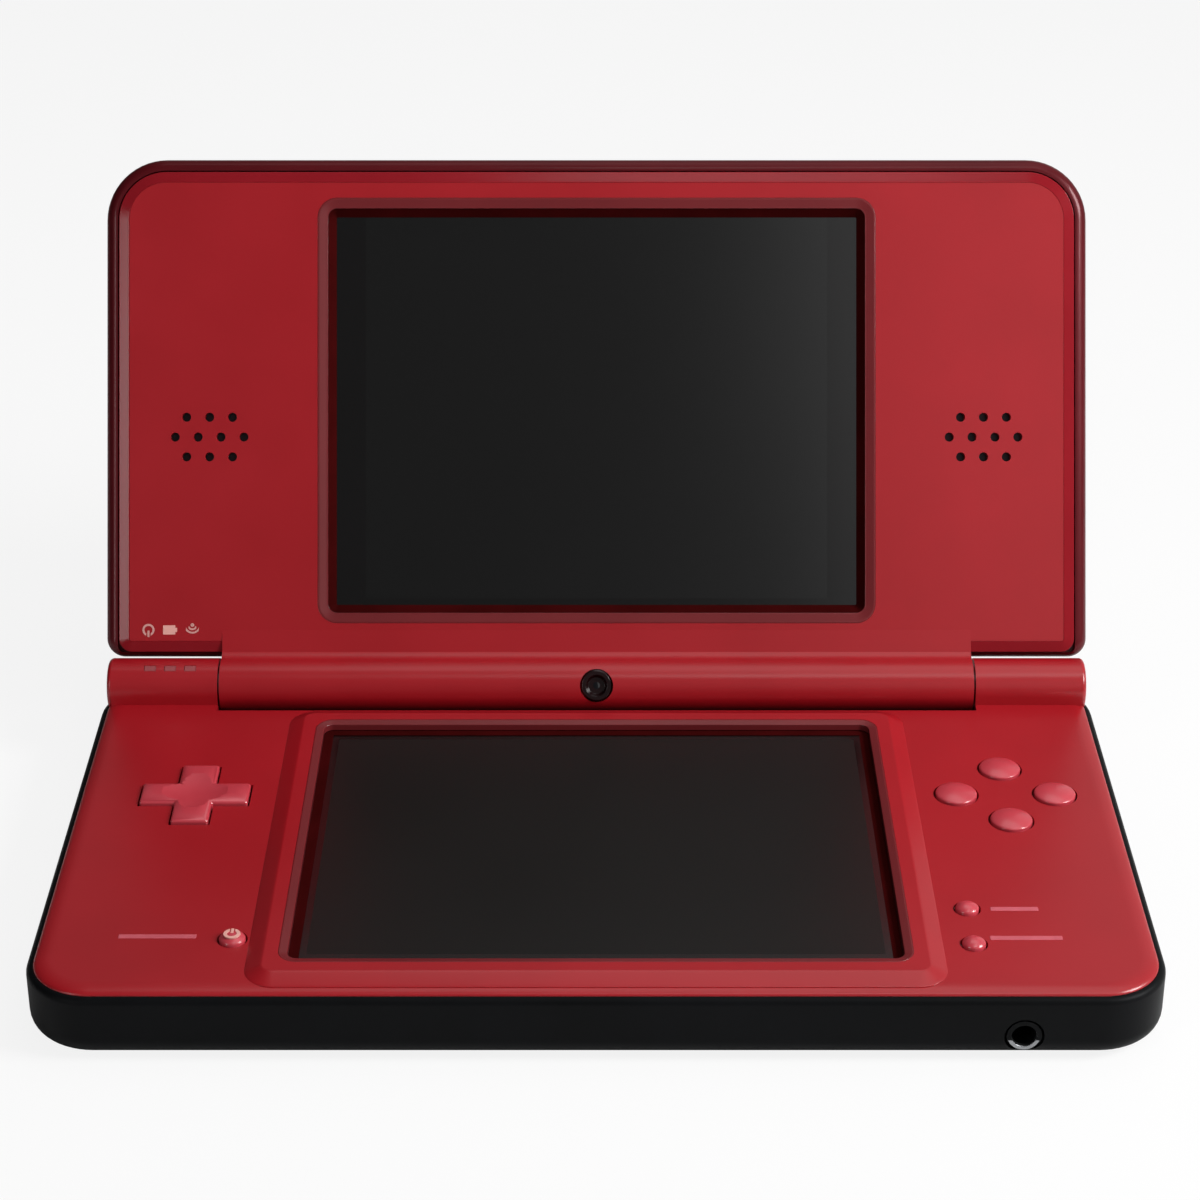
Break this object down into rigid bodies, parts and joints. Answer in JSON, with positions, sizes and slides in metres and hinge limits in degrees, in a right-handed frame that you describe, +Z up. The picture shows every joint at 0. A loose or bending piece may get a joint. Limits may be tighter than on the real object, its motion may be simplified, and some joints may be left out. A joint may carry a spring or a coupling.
{
  "type": "clamshell handheld game console",
  "caption": "Clamshell handheld game console with two screens, a friction-hinged lid, a direction pad, sprung buttons, a card door and a stylus.",
  "frame": {"origin": "middle of the console on the surface it stands on, under the middle of its box with the lid open as in the picture", "axes": "+X to the user's right, +Y away from the user, +Z up"},
  "size_m": [0.161, 0.1328, 0.0889],
  "materials": {
    "red_gloss": "wine-red clear-coated gloss",
    "red_satin": "wine-red satin",
    "red_keys": "wine-red moulded keys",
    "black_plastic": "fine matte black",
    "black_gloss": "gloss black",
    "screen_window": "grey screen window, off",
    "camera_black": "dark camera window",
    "display_panel": "display module",
    "circuit_board": "green solder mask",
    "battery_wrap": "grey battery wrap",
    "steel": "plated steel",
    "foot_rubber": "matte rubber",
    "contact_rubber": "grey silicone",
    "light_pipe": "milky light pipe"
  },
  "bodies": {
    "base": {"base_top_shell": "red_satin", "base_bottom_shell": "black_plastic", "battery_cover": "black_plastic", "hinge_clutch_left": "steel", "hinge_clutch_right": "steel", "case_screw_front_left": "steel", "case_screw_front_right": "steel", "case_screw_back_left": "steel", "case_screw_back_right": "steel", "foot_front_left": "foot_rubber", "foot_front_right": "foot_rubber", "foot_back_left": "foot_rubber", "foot_back_right": "foot_rubber", "cover_screw_left": "steel", "cover_screw_right": "steel", "indicator_light_1": "light_pipe", "indicator_light_2": "light_pipe", "indicator_light_3": "light_pipe", "touch_panel": "screen_window", "lower_display_module": "display_panel", "main_board": "circuit_board", "battery_pack": "battery_wrap", "pad_contact_mat": "contact_rubber", "face_contact_mat": "contact_rubber", "menu_contact_mat": "contact_rubber", "power_contact_mat": "contact_rubber", "game_card_connector": "black_plastic", "memory_card_connector": "steel", "headphone_jack": "black_plastic", "charging_port": "black_plastic"},
    "lid": {"lid_outer_shell": "red_gloss", "lid_inner_bezel": "red_satin", "upper_screen_window": "screen_window", "upper_display_module": "display_panel", "speaker_left": "black_plastic", "speaker_right": "black_plastic", "inner_camera_module": "camera_black", "outer_camera_window": "camera_black", "outer_camera_module": "black_plastic"},
    "pad_flange": {"pad_flange": "black_plastic"},
    "pad_cap": {"pad_cap": "red_keys"},
    "face_button_right": {"face_button_right": "red_keys"},
    "face_button_bottom": {"face_button_bottom": "red_keys"},
    "face_button_top": {"face_button_top": "red_keys"},
    "face_button_left": {"face_button_left": "red_keys"},
    "start_button": {"start_button": "red_keys"},
    "select_button": {"select_button": "red_keys"},
    "power_button": {"power_button": "red_keys"},
    "shoulder_left": {"shoulder_left": "black_gloss"},
    "shoulder_right": {"shoulder_right": "black_gloss"},
    "volume_rocker": {"volume_rocker": "black_gloss"},
    "memory_card_door": {"memory_card_door": "black_plastic"},
    "stylus": {"stylus": "black_plastic"}
  },
  "joints": [
    {"name": "lid_hinge", "type": "hinge", "parent": "base", "child": "lid", "pos_m": [0, 0.01993, 0.0126], "axis": [1, 0, 0], "range_deg": [-37.6, 117.4]},
    {"name": "pad_front_back", "type": "hinge", "parent": "base", "child": "pad_flange", "pos_m": [-0.0618, -0.01287, 0.00925], "axis": [1, 0, 0], "range_deg": [-2.5, 2.5], "stiffness_Nm_per_rad": 0.15},
    {"name": "pad_left_right", "type": "hinge", "parent": "pad_flange", "child": "pad_cap", "pos_m": [-0.0618, -0.01287, 0.00925], "axis": [0, 1, 0], "range_deg": [-2.5, 2.5], "stiffness_Nm_per_rad": 0.15},
    {"name": "face_right_press", "type": "slide", "parent": "base", "child": "face_button_right", "axis": [0, 0, -1], "range_m": [0, 0.0007], "stiffness_N_per_m": 800, "springref_m": -0.0004},
    {"name": "face_bottom_press", "type": "slide", "parent": "base", "child": "face_button_bottom", "axis": [0, 0, -1], "range_m": [0, 0.0007], "stiffness_N_per_m": 800, "springref_m": -0.0004},
    {"name": "face_top_press", "type": "slide", "parent": "base", "child": "face_button_top", "axis": [0, 0, -1], "range_m": [0, 0.0007], "stiffness_N_per_m": 800, "springref_m": -0.0004},
    {"name": "face_left_press", "type": "slide", "parent": "base", "child": "face_button_left", "axis": [0, 0, -1], "range_m": [0, 0.0007], "stiffness_N_per_m": 800, "springref_m": -0.0004},
    {"name": "start_press", "type": "slide", "parent": "base", "child": "start_button", "axis": [0, 0, -1], "range_m": [0, 0.0004], "stiffness_N_per_m": 900, "springref_m": -0.0004},
    {"name": "select_press", "type": "slide", "parent": "base", "child": "select_button", "axis": [0, 0, -1], "range_m": [0, 0.0004], "stiffness_N_per_m": 900, "springref_m": -0.0004},
    {"name": "power_press", "type": "slide", "parent": "base", "child": "power_button", "axis": [0, 0, -1], "range_m": [0, 0.0004], "stiffness_N_per_m": 900, "springref_m": -0.0004},
    {"name": "shoulder_left_press", "type": "hinge", "parent": "base", "child": "shoulder_left", "pos_m": [-0.0642, 0.02243, 0.005], "axis": [0, 0, 1], "range_deg": [0, 2.2], "stiffness_Nm_per_rad": 0.4, "springref_deg": -1.15},
    {"name": "shoulder_right_press", "type": "hinge", "parent": "base", "child": "shoulder_right", "pos_m": [0.0642, 0.02243, 0.005], "axis": [0, 0, -1], "range_deg": [0, 2.2], "stiffness_Nm_per_rad": 0.4, "springref_deg": -1.15},
    {"name": "volume_tilt", "type": "hinge", "parent": "base", "child": "volume_rocker", "pos_m": [-0.0782, -0.00867, 0.00625], "axis": [0, 0, 1], "range_deg": [-2, 2], "stiffness_Nm_per_rad": 0.1},
    {"name": "card_door_hinge", "type": "hinge", "parent": "base", "child": "memory_card_door", "pos_m": [0.08, -0.00047, 0.00275], "axis": [0, 1, 0], "range_deg": [0, 90]},
    {"name": "stylus_slide", "type": "slide", "parent": "base", "child": "stylus", "axis": [1, 0, 0], "range_m": [0, 0.098]}
  ]
}
